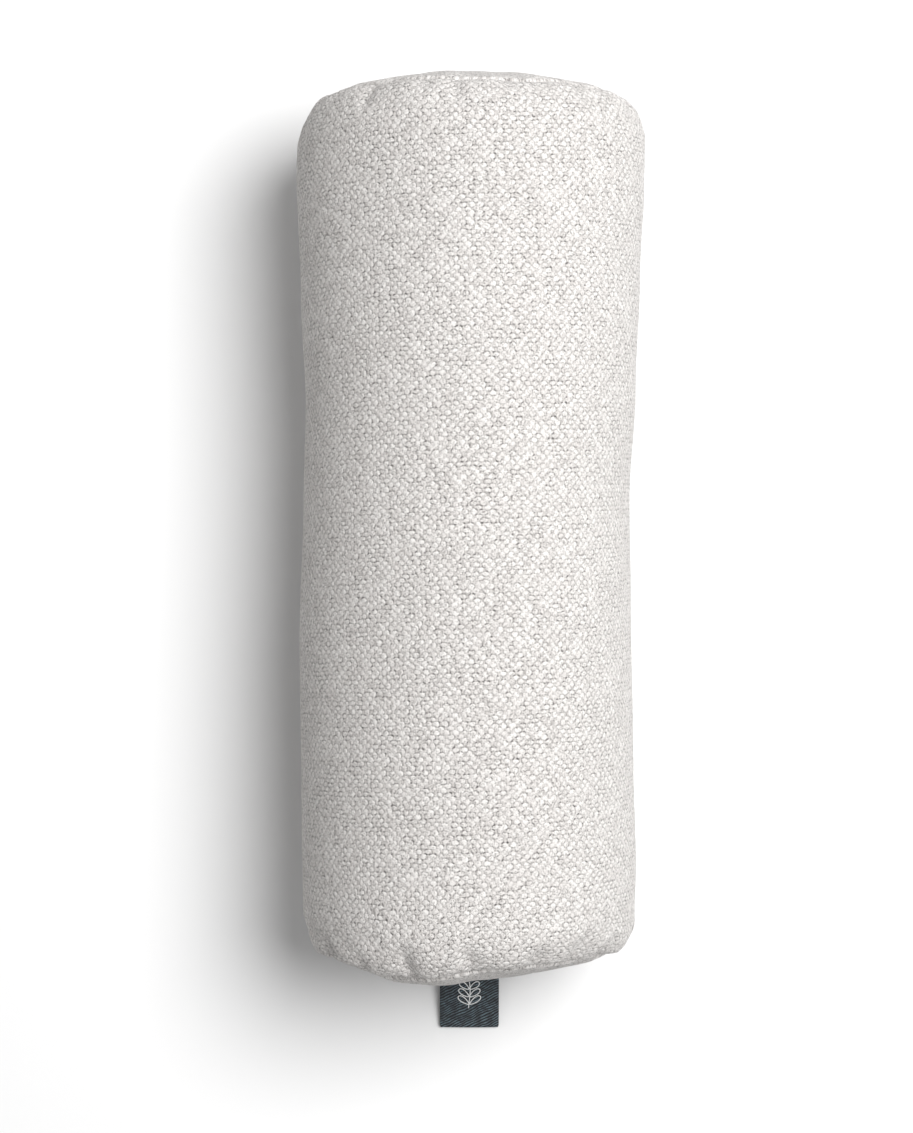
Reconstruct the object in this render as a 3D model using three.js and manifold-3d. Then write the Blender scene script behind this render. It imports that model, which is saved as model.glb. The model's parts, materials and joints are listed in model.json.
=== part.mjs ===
// Bolster pillow: a woven cover with round end panels, a lengthwise zip low on one side, and a fabric
// label in one end seam, over a sewn cotton liner filled with loose hulls.
// Millimetres. +Y runs along the bolster away from the label, +Z up, and the origin is the middle of
// the flat patch that it rests on.
import * as THREE from "three";
import { mergeVertices } from "three/addons/utils/BufferGeometryUtils.js";
import Module from "manifold-3d";

// Driving dimensions of the bolster.
const RADIUS = 75; // outside of the cover
const REST_DEPTH = 3; // how far its weight flattens the underside
const AXIS_HEIGHT = RADIUS - REST_DEPTH;
const END_REACH = 198; // from the middle to the top of each end panel's dome
const SEAM_REACH = 187.5; // from the middle to each end seam
const SEAM_RADIUS = 61; // radius of the end seams
const CORNER_REACH = 15; // how far along the axis the tube rounds in to an end seam
const FABRIC = 2; // thick woven cover fabric
const DOME_POWER = 2.2; // higher is flatter in the middle
const PANEL_RADII = [0, 22, 38, 50, 57]; // where an end panel's dome is faceted, inside its rim
const ALLOWANCE = 9; // seam allowance, turned in
const OVERLOCK = { thickness: 0.6, wrap: 4 }; // thread round the raw edges of an end seam
const GAP = 0.35; // clearance between pieces that touch
const AROUND = 48; // facets round the bolster

// Inner case and filling.
const LINER_RADIUS = 71.6;
const LINER_FABRIC = 1.2;
const LINER_REACH = 175;
const LINER_CORNER = 14;
const LINER_SEAM_RADIUS = 57;
const ZIP_DENT = 2; // how far the zip presses the liner in
const DENTED_FROM = 66; // radius from which it does

// Zip, measured outwards from the bolster's axis along the zip's own direction.
const ZIP_ANGLE = -45; // degrees above the horizontal on the +X side
const SLOT_HALF_WIDTH = 5;
const SLOT_HALF_LENGTH = 169;
const TAPE = { inner: 72, outer: 72.5, from: 1.3, to: 13.3, halfLength: 172 };
const COIL = { inner: 72.85, outer: 74.8, from: 0.85, to: 3.2, halfLength: 163 };
const STOP_LENGTH = 2;
const SLIDER = {
  length: 11, halfWidth: 4.4, lower: 70.5, lowerTop: 71.65, skirt: 73.1, skirtFrom: 3.55,
  upper: 75.15, top: 76.35, bridge: 0.5, restGap: 0.5,
};
const BAIL = {
  halfWidth: 0.8, holeHalf: 1.3, holeTop: 78.65, leg: 0.9, top: 79.65, root: 75.95, chamfer: 0.6,
};
const PULL = {
  bar: 77.5, half: 0.6, reach: 97.5, rootHalf: 2.4, rootEnd: 82.1, tipHalf: 3.1, tipFrom: 86.1,
  holeHalf: 1.15, holeEnd: 81.1, gripHole: 1.3,
};
const STITCH = { from: 7.8, to: 8.4, inner: 75.5, outer: 75.9, halfLength: 170.5 };

// Side label: a folded ribbon in the end seam, under the -Y end, drooping to just above the floor.
const LABEL = {
  width: 27.6, reach: 46.6, start: 1, droop: 11.5, ply: 0.5, loop: 1.5, foldHalf: 0.3, out: 0.6,
};
const CARE = { width: 30, height: 42, thickness: 0.4, behindSeam: 11.2, above: 30 };

const fabric = material(0xe3e1dc, 0.95, 0);
const cotton = material(0xf1efe8, 0.95, 0);
const hulls = material(0xa98a5c, 1, 0);
const thread = material(0xdedbd3, 0.8, 0);
const tapeCloth = material(0xd8d6d0, 0.85, 0);
const nylon = material(0xdcdad5, 0.4, 0);
const zinc = material(0xb9bbbd, 0.35, 1);
const slate = material(0x2b333c, 0.7, 0);
const satin = material(0xf4f4f2, 0.5, 0);

const wasm = await Module();
wasm.setup();

const bolster = new THREE.Group();

function material(color, roughness, metalness) {
  return new THREE.MeshStandardMaterial({ color, roughness, metalness });
}

function add(parent, name, geometry, finish) {
  const mesh = new THREE.Mesh(geometry, finish);
  mesh.name = name;
  parent.add(mesh);
  return mesh;
}

// A closed solid of the geometry, with shared vertices and its faces pointing out.
function solid(geometry) {
  const bare = geometry.clone();
  bare.deleteAttribute("normal");
  bare.deleteAttribute("uv");
  const merged = mergeVertices(bare, 1e-4);
  const triVerts = new Uint32Array(merged.index.array);
  const vertProperties = new Float32Array(merged.attributes.position.array);
  return new wasm.Manifold(new wasm.Mesh({ numProp: 3, vertProperties, triVerts }));
}

function geometryOf(manifold) {
  const { vertProperties, triVerts } = manifold.getMesh();
  const geometry = new THREE.BufferGeometry();
  geometry.setAttribute("position", new THREE.BufferAttribute(vertProperties, 3));
  geometry.setIndex(new THREE.BufferAttribute(triVerts, 1));
  return geometry;
}

// Points of a quarter ellipse that leaves the tube along the axis and ends square to it, each with
// its depth below the skin that meets the floor.
function corner(radius, y, inwards, along, steps, depth = 0) {
  return Array.from({ length: steps + 1 }, (_, i) => {
    const a = (i / steps) * (Math.PI / 2);
    return [radius - inwards * (1 - Math.cos(a)), y + along * Math.sin(a), depth];
  });
}

// Revolves a closed outline of [radius, y, depth] points about the bolster's axis. The skin never
// drops below floor, nor an inner point below its depth above that, and dent presses the tube in
// along the zip.
function revolve(outline, { floor = 0, dent = 0 } = {}) {
  const closed = [...outline, outline[0]];
  const geometry = new THREE.LatheGeometry(closed.map(([r, y]) => new THREE.Vector2(r, y)), AROUND);
  const position = geometry.attributes.position;
  const facet = (2 * Math.PI) / AROUND;
  const zipDirection = THREE.MathUtils.degToRad(ZIP_ANGLE);
  for (let i = 0; i < position.count; i++) {
    const [radius, y, depth = 0] = closed[i % closed.length];
    const around = Math.atan2(position.getZ(i), position.getX(i));
    const nearZip = Math.abs(around - zipDirection) < 1.5 * facet;
    const r = nearZip && radius > DENTED_FROM ? radius - dent : radius;
    const z = Math.max(AXIS_HEIGHT + r * Math.sin(around), floor + depth);
    position.setXYZ(i, r * Math.cos(around), y, z);
  }
  return geometry;
}

const mirrored = (points) => points.map(([r, y, depth]) => [r, -y, depth]).reverse();

// A strip along Y with a cross-section in the zip's frame: across the zip, and out from the axis.
function strip(section, from, to) {
  const shape = new THREE.Shape(section.map(([across, out]) => new THREE.Vector2(across, out)));
  const geometry = new THREE.ExtrudeGeometry(shape, { depth: to - from, bevelEnabled: false });
  geometry.rotateX(Math.PI / 2);
  geometry.translate(0, to, 0);
  return geometry;
}

const rectangle = (x0, y0, x1, y1) => [[x0, y0], [x1, y0], [x1, y1], [x0, y1]];

// The zip's frame: local Z points out of the cover at the zip, local Y stays along the bolster.
function zipFrame() {
  const frame = new THREE.Group();
  frame.position.z = AXIS_HEIGHT;
  frame.rotation.y = THREE.MathUtils.degToRad(90 - ZIP_ANGLE);
  return frame;
}

// Section of a tape: an arc concentric with the cover.
function tapeSection(side) {
  const steps = 4;
  const arc = (radius) => Array.from({ length: steps + 1 }, (_, i) => {
    const across = TAPE.from + ((TAPE.to - TAPE.from) * i) / steps;
    const angle = across / radius;
    return [side * radius * Math.sin(angle), radius * Math.cos(angle)];
  });
  return [...arc(TAPE.inner), ...arc(TAPE.outer).reverse()];
}

function coverBody() {
  const outer = [
    ...corner(RADIUS, SEAM_REACH - CORNER_REACH, RADIUS - SEAM_RADIUS - FABRIC, CORNER_REACH, 4),
    [SEAM_RADIUS + GAP, SEAM_REACH],
    [SEAM_RADIUS + GAP, SEAM_REACH - ALLOWANCE],
    [SEAM_RADIUS + FABRIC, SEAM_REACH - ALLOWANCE],
  ];
  const inner = corner(
    RADIUS - FABRIC, SEAM_REACH - CORNER_REACH,
    RADIUS - SEAM_RADIUS - 2 * FABRIC, CORNER_REACH - FABRIC, 4, FABRIC,
  ).reverse();
  const half = [...outer, ...inner];
  const tube = outwards(revolve([...half, ...mirrored(half)]));
  const slot = rectangle(-SLOT_HALF_WIDTH, LINER_RADIUS - 10, SLOT_HALF_WIDTH, RADIUS + 5);
  const cutter = strip(slot, -SLOT_HALF_LENGTH, SLOT_HALF_LENGTH);
  const frame = zipFrame();
  frame.updateMatrix();
  cutter.applyMatrix4(frame.matrix);
  return geometryOf(tube.subtract(outwards(cutter)));
}

// Height of an end panel's dome above the end seam at a radius, measured along the axis.
const dome = (radius, rim) => (END_REACH - SEAM_REACH) * (1 - (radius / rim) ** DOME_POWER);

function endPanel() {
  const rim = SEAM_RADIUS - GAP;
  const radii = [...PANEL_RADII, rim];
  const outside = radii.map((r) => [r, SEAM_REACH + dome(r, rim)]);
  const inside = radii.slice(0, -1).map((r) => [r, SEAM_REACH - FABRIC + dome(r, rim)]);
  inside[inside.length - 1] = [rim - FABRIC, SEAM_REACH - FABRIC];
  const outline = [
    ...outside,
    [rim, SEAM_REACH - ALLOWANCE],
    [rim - FABRIC, SEAM_REACH - ALLOWANCE],
    ...inside.reverse(),
  ];
  return revolve(outline);
}

// Overlock thread wrapped round the raw edges of an end seam's allowances.
function endSeamThread() {
  const edge = SEAM_REACH - ALLOWANCE;
  const end = edge - GAP;
  const top = edge + OVERLOCK.wrap;
  const [inner, outer] = [SEAM_RADIUS - 2 * GAP - FABRIC, SEAM_RADIUS + FABRIC + GAP];
  const outline = [
    [outer + OVERLOCK.thickness, end - OVERLOCK.thickness],
    [outer + OVERLOCK.thickness, top],
    [outer, top],
    [outer, end],
    [inner, end],
    [inner, top],
    [inner - OVERLOCK.thickness, top],
    [inner - OVERLOCK.thickness, end - OVERLOCK.thickness],
  ];
  return revolve(outline);
}

function linerBody() {
  const half = [
    ...corner(LINER_RADIUS, LINER_REACH - LINER_CORNER, LINER_RADIUS - LINER_SEAM_RADIUS, LINER_CORNER, 3),
    ...corner(
      LINER_RADIUS - LINER_FABRIC, LINER_REACH - LINER_CORNER,
      LINER_RADIUS - LINER_SEAM_RADIUS - LINER_FABRIC, LINER_CORNER - LINER_FABRIC, 3, LINER_FABRIC,
    ).reverse(),
  ];
  return revolve([...half, ...mirrored(half)], { floor: FABRIC + GAP, dent: ZIP_DENT });
}

function linerEnd() {
  const rim = LINER_SEAM_RADIUS - GAP;
  return revolve([
    [0, LINER_REACH],
    [rim, LINER_REACH],
    [rim, LINER_REACH - LINER_FABRIC],
    [0, LINER_REACH - LINER_FABRIC],
  ]);
}

function filling() {
  const radius = LINER_RADIUS - LINER_FABRIC - 2 * GAP;
  const reach = LINER_REACH - LINER_FABRIC - 2 * GAP;
  const half = corner(radius, reach - LINER_CORNER, radius - LINER_SEAM_RADIUS + GAP, LINER_CORNER, 3);
  return revolve([[0, -reach], ...mirrored(half), ...half, [0, reach]], {
    floor: FABRIC + LINER_FABRIC + 2 * GAP, dent: ZIP_DENT,
  });
}

// Mirrors a piece made for the +Y end to the -Y end, keeping its faces pointing out.
function atFront(geometry) {
  const copy = geometry.clone();
  copy.translate(0, 0, -AXIS_HEIGHT);
  copy.rotateZ(Math.PI);
  copy.translate(0, 0, AXIS_HEIGHT);
  return copy;
}

function addZip() {
  const zip = zipFrame();
  for (const [side, name] of [[1, "lower"], [-1, "upper"]]) {
    const band = (part) => rectangle(side * part.from, part.inner, side * part.to, part.outer);
    add(zip, "zip_tape_" + name, geometryOf(outwards(strip(
      tapeSection(side), -TAPE.halfLength, TAPE.halfLength,
    ))), tapeCloth);
    add(zip, "zip_coil_" + name, geometryOf(outwards(strip(
      band(COIL), -COIL.halfLength, COIL.halfLength,
    ))), nylon);
    add(zip, "zip_top_stop_" + name, geometryOf(outwards(strip(
      band(COIL), COIL.halfLength + GAP, COIL.halfLength + GAP + STOP_LENGTH,
    ))), zinc);
    add(zip, "zip_topstitch_" + name, geometryOf(outwards(strip(
      band(STITCH), -STITCH.halfLength, STITCH.halfLength,
    ))), thread);
  }
  const bottom = -COIL.halfLength - GAP;
  add(zip, "zip_bottom_stop", strip(
    rectangle(-COIL.to, COIL.inner, COIL.to, COIL.outer), bottom - STOP_LENGTH, bottom,
  ), zinc);
  add(zip, "zip_slider", slider(), zinc);
  add(zip, "zip_pull", pull(), zinc);
  bolster.add(zip);
}

// A solid that may have been drawn clockwise, with its faces turned out.
function outwards(geometry) {
  const made = solid(geometry);
  if (made.volume() > 0) return made;
  const index = geometry.index ?? mergeVertices(geometry).index;
  const turned = geometry.index ? geometry.clone() : mergeVertices(geometry);
  const faces = Array.from(index.array);
  for (let i = 0; i < faces.length; i += 3) [faces[i], faces[i + 1]] = [faces[i + 1], faces[i]];
  turned.setIndex(faces);
  return solid(turned);
}

const sliderY = COIL.halfLength - SLIDER.length / 2 - SLIDER.restGap; // closed, just short of the top stops

function slider() {
  const s = SLIDER;
  const halfSection = [
    [s.bridge, s.lowerTop], [s.halfWidth, s.lowerTop], [s.halfWidth, s.lower],
  ];
  const upperHalf = [
    [s.halfWidth, s.top], [s.halfWidth, s.skirt], [s.skirtFrom, s.skirt],
    [s.skirtFrom, s.upper], [s.bridge, s.upper],
  ];
  const right = [...upperHalf, ...halfSection];
  const left = right.map(([across, out]) => [-across, out]).reverse();
  const body = solid(strip([...right, ...left], sliderY - s.length / 2, sliderY + s.length / 2));
  const legOut = BAIL.holeHalf + BAIL.leg;
  const shoulder = BAIL.top - BAIL.chamfer;
  const arch = new THREE.Shape([
    [-legOut, BAIL.root], [legOut, BAIL.root], [legOut, shoulder], [legOut - BAIL.chamfer, BAIL.top],
    [BAIL.chamfer - legOut, BAIL.top], [-legOut, shoulder],
  ].map(([y, out]) => new THREE.Vector2(y, out)));
  arch.holes.push(new THREE.Path(
    rectangle(-BAIL.holeHalf, s.top, BAIL.holeHalf, BAIL.holeTop)
      .map(([y, out]) => new THREE.Vector2(y, out)),
  ));
  const bail = new THREE.ExtrudeGeometry(arch, { depth: 2 * BAIL.halfWidth, bevelEnabled: false });
  bail.rotateX(Math.PI / 2);
  bail.rotateZ(Math.PI / 2);
  bail.translate(-BAIL.halfWidth, sliderY, 0);
  return geometryOf(body.add(solid(bail)));
}

// The pull hangs straight out from the slider's bail: a tapering tab with a loop at its root.
function pull() {
  const p = PULL;
  const tip = p.reach;
  const outline = new THREE.Shape();
  outline.moveTo(-p.rootHalf, p.bar - p.half);
  outline.lineTo(p.rootHalf, p.bar - p.half);
  outline.lineTo(p.rootHalf, p.rootEnd);
  outline.lineTo(p.tipHalf, p.tipFrom);
  outline.lineTo(p.tipHalf, tip - p.tipHalf);
  outline.absarc(0, tip - p.tipHalf, p.tipHalf, 0, Math.PI, false);
  outline.lineTo(-p.tipHalf, p.tipFrom);
  outline.lineTo(-p.rootHalf, p.rootEnd);
  outline.holes.push(new THREE.Path(
    rectangle(-p.holeHalf, p.bar + p.half, p.holeHalf, p.holeEnd)
      .map(([across, out]) => new THREE.Vector2(across, out)),
  ));
  const grip = new THREE.Path();
  grip.absarc(0, tip - p.tipHalf, p.gripHole, 0, 2 * Math.PI, true);
  outline.holes.push(grip);
  const geometry = new THREE.ExtrudeGeometry(outline, {
    depth: 2 * p.half, bevelEnabled: false, curveSegments: 8,
  });
  geometry.rotateX(Math.PI / 2);
  geometry.translate(0, sliderY + p.half, 0);
  return geometry;
}

// The label's frame: local -Y runs along the ribbon from the seam at 6 o'clock.
function addLabel() {
  const frame = new THREE.Group();
  frame.position.set(0, -SEAM_REACH - LABEL.out, AXIS_HEIGHT - SEAM_RADIUS);
  frame.rotation.x = THREE.MathUtils.degToRad(LABEL.droop);
  const half = LABEL.loop / 2;
  const section = [
    [-LABEL.start, half], [-LABEL.reach + half, half],
    [-LABEL.reach, LABEL.foldHalf], [-LABEL.reach, -LABEL.foldHalf],
    [-LABEL.reach + half, -half], [-LABEL.start, -half], [-LABEL.start, LABEL.ply - half],
    [-LABEL.reach + half, LABEL.ply - half], [-LABEL.reach + half, half - LABEL.ply],
    [-LABEL.start, half - LABEL.ply],
  ];
  const shape = new THREE.Shape(section.map(([y, z]) => new THREE.Vector2(y, z)));
  const ribbon = new THREE.ExtrudeGeometry(shape, { depth: LABEL.width, bevelEnabled: false });
  ribbon.rotateX(Math.PI / 2);
  ribbon.rotateZ(Math.PI / 2);
  ribbon.translate(-LABEL.width / 2, 0, 0);
  add(frame, "side_label", geometryOf(outwards(ribbon)), slate);
  bolster.add(frame);
}

// A blank care label stands inside the cover, on the front end seam's allowance.
function addCareLabel() {
  const slip = new THREE.BoxGeometry(CARE.width, CARE.thickness, CARE.height);
  const y = CARE.behindSeam - SEAM_REACH;
  add(bolster, "care_label", slip, satin).position.set(0, y, AXIS_HEIGHT + CARE.above);
}

add(bolster, "cover_body", coverBody(), fabric);
add(bolster, "end_panel_rear", geometryOf(outwards(endPanel())), fabric);
add(bolster, "end_panel_front", geometryOf(outwards(atFront(endPanel()))), fabric);
add(bolster, "end_seam_rear", geometryOf(outwards(endSeamThread())), thread);
add(bolster, "end_seam_front", geometryOf(outwards(atFront(endSeamThread()))), thread);
addZip();
addLabel();
addCareLabel();
add(bolster, "liner_body", geometryOf(outwards(linerBody())), cotton);
add(bolster, "liner_end_rear", geometryOf(outwards(linerEnd())), cotton);
add(bolster, "liner_end_front", geometryOf(outwards(atFront(linerEnd()))), cotton);
add(bolster, "hull_filling", geometryOf(outwards(filling())), hulls);

export default bolster;
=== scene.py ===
"""Bolster pillow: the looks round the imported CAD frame. Metres, +Y away from the label end, +Z up."""
import json
import math

import bmesh
import bpy
import numpy as np
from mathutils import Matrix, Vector

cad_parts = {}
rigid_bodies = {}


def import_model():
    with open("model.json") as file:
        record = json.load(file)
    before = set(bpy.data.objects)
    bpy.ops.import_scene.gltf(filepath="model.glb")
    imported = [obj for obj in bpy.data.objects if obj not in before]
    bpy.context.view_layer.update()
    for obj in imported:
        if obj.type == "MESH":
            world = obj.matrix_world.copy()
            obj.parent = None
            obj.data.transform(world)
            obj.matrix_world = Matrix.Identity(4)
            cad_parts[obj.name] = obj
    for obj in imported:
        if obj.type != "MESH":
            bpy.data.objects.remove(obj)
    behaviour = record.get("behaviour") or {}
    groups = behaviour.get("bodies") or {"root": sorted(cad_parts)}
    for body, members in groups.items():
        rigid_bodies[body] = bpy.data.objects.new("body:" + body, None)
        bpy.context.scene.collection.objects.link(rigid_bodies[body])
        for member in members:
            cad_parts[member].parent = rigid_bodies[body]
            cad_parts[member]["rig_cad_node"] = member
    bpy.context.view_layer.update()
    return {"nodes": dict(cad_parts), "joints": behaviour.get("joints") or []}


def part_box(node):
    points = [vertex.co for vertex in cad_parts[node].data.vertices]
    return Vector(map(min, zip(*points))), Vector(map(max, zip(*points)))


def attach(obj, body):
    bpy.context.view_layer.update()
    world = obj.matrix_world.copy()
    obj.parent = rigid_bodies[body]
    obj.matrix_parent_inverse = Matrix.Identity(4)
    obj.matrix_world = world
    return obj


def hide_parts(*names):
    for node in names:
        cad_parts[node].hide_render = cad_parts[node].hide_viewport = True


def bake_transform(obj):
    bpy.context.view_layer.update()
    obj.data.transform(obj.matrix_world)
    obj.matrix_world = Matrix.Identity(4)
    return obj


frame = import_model()

MM = 0.001

# The bolster's form, from the CAD nodes' boxes.
tube_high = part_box("cover_body")[1]
dome_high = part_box("end_panel_rear")[1]
RADIUS = tube_high.x
AXIS_HEIGHT = tube_high.z - RADIUS
SEAM_REACH = tube_high.y
END_REACH = dome_high.y
SEAM_RADIUS = dome_high.x
CIRCUMFERENCE = 2 * math.pi * RADIUS
CORNER_REACH = 20 * MM  # how far along the axis the tube rounds in to an end seam
FOLD = 1.5 * MM  # radius of the rolled edge where fabric turns into a seam
FLANGE = 6 * MM  # seam allowance that is modelled
SEAM_GAP = 0.25 * MM  # half the gap between the two fabrics in an end seam
FABRIC = 1.5 * MM
DOME_HEIGHT = END_REACH - SEAM_REACH - 0.5 * MM  # the panels' fabric lies just inside the CAD's domes
DOME_POWER = 2.1  # higher is flatter in the middle
SAG_HEIGHT = 0.7 * MM  # how far the hulls' weight bulges each panel, this far below its middle
SAG_BELOW = 22 * MM
SAG_SPREAD = 36 * MM

# The zip's direction round the bolster, and its slot.
ZIP_ANGLE = math.radians(-45)
ZIP_OUT = np.array([math.cos(ZIP_ANGLE), 0, math.sin(ZIP_ANGLE)])
ZIP_ACROSS = np.array([math.sin(ZIP_ANGLE), 0, -math.cos(ZIP_ANGLE)])
SLOT_HALF_LENGTH = 168 * MM
SLOT_HALF_WIDTH = 4.6 * MM

# Weave of the cover: one yarn's pitch round the tube and along it, and the slope of its cut.
YARN_ROUND = 1.9 * MM
YARN_ALONG = 1.83 * MM
OFF_GRAIN = 0.036


# ---------------------------------------------------------------- meshes

def make_object(name, vertices, faces, uv=None, smooth=True):
    """A mesh object of vertices and faces, with uv given for each vertex on the layer "cloth"."""
    mesh = bpy.data.meshes.new(name)
    mesh.from_pydata(np.asarray(vertices, float).tolist(), [], [list(map(int, f)) for f in faces])
    if uv is not None:
        layer = mesh.uv_layers.new(name="cloth")
        corners = np.empty(len(mesh.loops), np.int32)
        mesh.loops.foreach_get("vertex_index", corners)
        layer.data.foreach_set("uv", np.asarray(uv, np.float32)[corners].ravel())
    mesh.shade_smooth() if smooth else mesh.shade_flat()
    obj = bpy.data.objects.new(name, mesh)
    bpy.context.scene.collection.objects.link(obj)
    return obj


def grid_faces(rows, columns, wrap=False, first=0):
    """Quads of a rows x columns grid of vertices, closed round the columns if wrap."""
    across = columns if wrap else columns - 1
    r, c = np.meshgrid(np.arange(rows - 1), np.arange(across), indexing="ij")
    nxt = (c + 1) % columns
    quads = np.stack([
        r * columns + c, r * columns + nxt, (r + 1) * columns + nxt, (r + 1) * columns + c], -1)
    return (quads.reshape(-1, 4) + first).tolist()


def apply_modifiers(obj):
    """Replaces the object's mesh with the one its modifiers make."""
    graph = bpy.context.evaluated_depsgraph_get()
    made = bpy.data.meshes.new_from_object(obj.evaluated_get(graph))
    obj.modifiers.clear()
    obj.data = made


def thicken(obj, thickness):
    """Gives an open sheet a second side and closed rims, on the side away from its normals."""
    solid = obj.modifiers.new("thickness", "SOLIDIFY")
    solid.thickness = thickness
    solid.offset = -1
    solid.use_even_offset = False
    apply_modifiers(obj)


def tube_mesh(path, radius, sides=6, closed=False):
    """Vertices and faces of a round tube along a path of points: a loop if closed, else with flat ends."""
    path = np.asarray(path, float)
    ahead = np.roll(path, -1, 0) - np.roll(path, 1, 0)
    if not closed:
        ahead[0], ahead[-1] = path[1] - path[0], path[-1] - path[-2]
    ahead /= np.linalg.norm(ahead, axis=1)[:, None]
    side = np.empty_like(path)
    start = np.cross(ahead[0], [0.0, 0.0, 1.0])
    if np.linalg.norm(start) < 0.1:
        start = np.cross(ahead[0], [1.0, 0.0, 0.0])
    side[0] = start / np.linalg.norm(start)
    for i in range(1, len(path)):
        s = side[i - 1] - ahead[i] * (side[i - 1] @ ahead[i])
        side[i] = s / np.linalg.norm(s)
    up = np.cross(ahead, side)
    turn = np.linspace(0, 2 * math.pi, sides, endpoint=False)
    ring = side[:, None] * np.cos(turn)[None, :, None] + up[:, None] * np.sin(turn)[None, :, None]
    vertices = (path[:, None] + radius * ring).reshape(-1, 3)
    faces = grid_faces(len(path), sides, wrap=True)
    last = (len(path) - 1) * sides
    if closed:
        faces += [[last + k, last + (k + 1) % sides, (k + 1) % sides, k] for k in range(sides)]
    else:
        faces += [list(range(sides))[::-1], [last + k for k in range(sides)]]
    return vertices, faces


def join_parts(parts):
    """One list of vertices and one of faces from several (vertices, faces) pairs."""
    vertices, faces, first = [], [], 0
    for v, f in parts:
        vertices.append(np.asarray(v, float))
        faces.extend([[i + first for i in face] for face in f])
        first += len(v)
    return np.concatenate(vertices), faces


def bevelled(node, name, width):
    """A copy of a CAD node's mesh with its edges rounded, which takes the node's place."""
    obj = bpy.data.objects.new(name, frame["nodes"][node].data.copy())
    obj.data.materials.clear()
    bpy.context.scene.collection.objects.link(obj)
    work = bmesh.new()
    work.from_mesh(obj.data)
    bmesh.ops.remove_doubles(work, verts=work.verts, dist=1e-6)
    bmesh.ops.dissolve_limit(
        work, angle_limit=math.radians(2), verts=work.verts, edges=work.edges, delimit={"NORMAL"},
    )
    work.to_mesh(obj.data)
    work.free()
    bevel = obj.modifiers.new("round edges", "BEVEL")
    bevel.width = width
    bevel.segments = 2
    bevel.limit_method = "ANGLE"
    bevel.angle_limit = math.radians(35)
    apply_modifiers(obj)
    obj.data.shade_smooth()
    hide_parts(node)
    return obj


# ---------------------------------------------------------------- form of the bolster

def smooth_step(x):
    """0 up to 0 and 1 from 1 on, with a soft curve between."""
    x = np.clip(x, 0, 1)
    return x * x * (3 - 2 * x)


def through(knots, x):
    """Smooth curve through (place, value) knots, level beyond the first and last."""
    places, values = np.array(knots, float).T
    x = np.clip(x, places[0], places[-1])
    i = np.clip(np.searchsorted(places, x, side="right") - 1, 0, len(places) - 2)
    share = smooth_step((x - places[i]) / (places[i + 1] - places[i]))
    return values[i] + (values[i + 1] - values[i]) * share


def meridian_points():
    """(radius, y) along the tube from the middle to inside the rear seam, as a fine polyline, and
    which of its points is the seam's lip."""
    straight = SEAM_REACH - CORNER_REACH
    lip = SEAM_RADIUS + SEAM_GAP + FOLD
    a = np.linspace(0, math.pi / 2, 40)
    rounding = np.stack([
        RADIUS - (RADIUS - lip) * (1 - np.cos(a)),
        straight + CORNER_REACH * np.sin(a)], 1)
    fold = np.stack([lip - FOLD * np.sin(a), SEAM_REACH - FOLD * (1 - np.cos(a))], 1)
    inside = [[SEAM_RADIUS + SEAM_GAP, SEAM_REACH - FOLD - FLANGE]]
    return np.concatenate([[[RADIUS, 0]], rounding, fold[1:], inside]), len(rounding)


MERIDIAN, LIP_INDEX = meridian_points()
ARC = np.concatenate([[0], np.cumsum(np.linalg.norm(np.diff(MERIDIAN, axis=0), axis=1))])
S_LIP = ARC[LIP_INDEX]  # length along the fabric from the middle to where it rolls into the seam
S_END = ARC[-1]


def meridian(s):
    """(radius, y) at a length along the fabric from the middle."""
    s = np.asarray(s, float)
    radius, y = (np.interp(np.abs(s), ARC, MERIDIAN[:, k]) for k in (0, 1))
    return radius, np.sign(s) * y


# How far each side stands out of (or in from) a true cylinder: (y, shift) in millimetres.
RIGHT_SIDE = [
    (-180, -1.2), (-168, -2.5), (-150, -1.8), (-105, -3.3), (-30, -4.8), (12, -5.6), (60, -2.0),
    (112, 0.4), (150, 2.4), (176, 2.8), (186, 3.8)]
LEFT_SIDE = [
    (-187, 2.2), (-177, -1.3), (-120, -0.4), (-50, 0.5), (10, -1.3), (54, -2.3), (100, -0.2),
    (158, 1.8), (184, 0)]


# Each side's direction round the bolster and half its width, in degrees.
RIGHT_FACING, RIGHT_HALF = 16, 52
LEFT_FACING, LEFT_HALF = 172, 62


def settle(points):
    """The hulls' slump: bends the round sides in and out."""
    p = np.array(points, float)
    x, y, z = p[:, 0], p[:, 1], p[:, 2] - AXIS_HEIGHT
    angle = np.degrees(np.arctan2(z, x))
    right = smooth_step(1 - np.abs(angle - RIGHT_FACING) / RIGHT_HALF)
    left = smooth_step(1 - np.abs((angle - LEFT_FACING + 180) % 360 - 180) / LEFT_HALF)
    r = np.hypot(x, z)
    outward = through(RIGHT_SIDE, y / MM) * right + through(LEFT_SIDE, y / MM) * left
    shift = outward * MM * np.clip(r / RADIUS, 0, 1) ** 2
    scale = np.where(r > 1e-6, (r + shift) / np.maximum(r, 1e-6), 1)
    p[:, 0], p[:, 2] = x * scale, AXIS_HEIGHT + z * scale
    return p


def rest_on_floor(points, depth=0.0):
    """Presses points up to a height of depth, with a soft edge: the underside lies flat on the floor."""
    p = np.array(points, float)
    soft = 1.2 * MM
    h = (p[:, 2] - depth) / soft
    # log(1 + exp(h)), which is h itself well above the floor.
    p[:, 2] = depth + soft * np.where(h > 20, h, np.log1p(np.exp(np.clip(h, -30, 20))))
    return p


def cubic(values, at, wrap):
    """Catmull-Rom interpolation along the first axis at fractional places."""
    n = len(values)
    base = np.floor(at).astype(int)
    t = (at - base).reshape((-1,) + (1,) * (values.ndim - 1))
    places = [(base + k) % n if wrap else np.clip(base + k, 0, n - 1) for k in (-1, 0, 1, 2)]
    a, b, c, d = (values[k] for k in places)
    return b + 0.5 * t * (c - a + t * (2 * a - 5 * b + 4 * c - d + t * (3 * (b - c) + d - a)))


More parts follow.
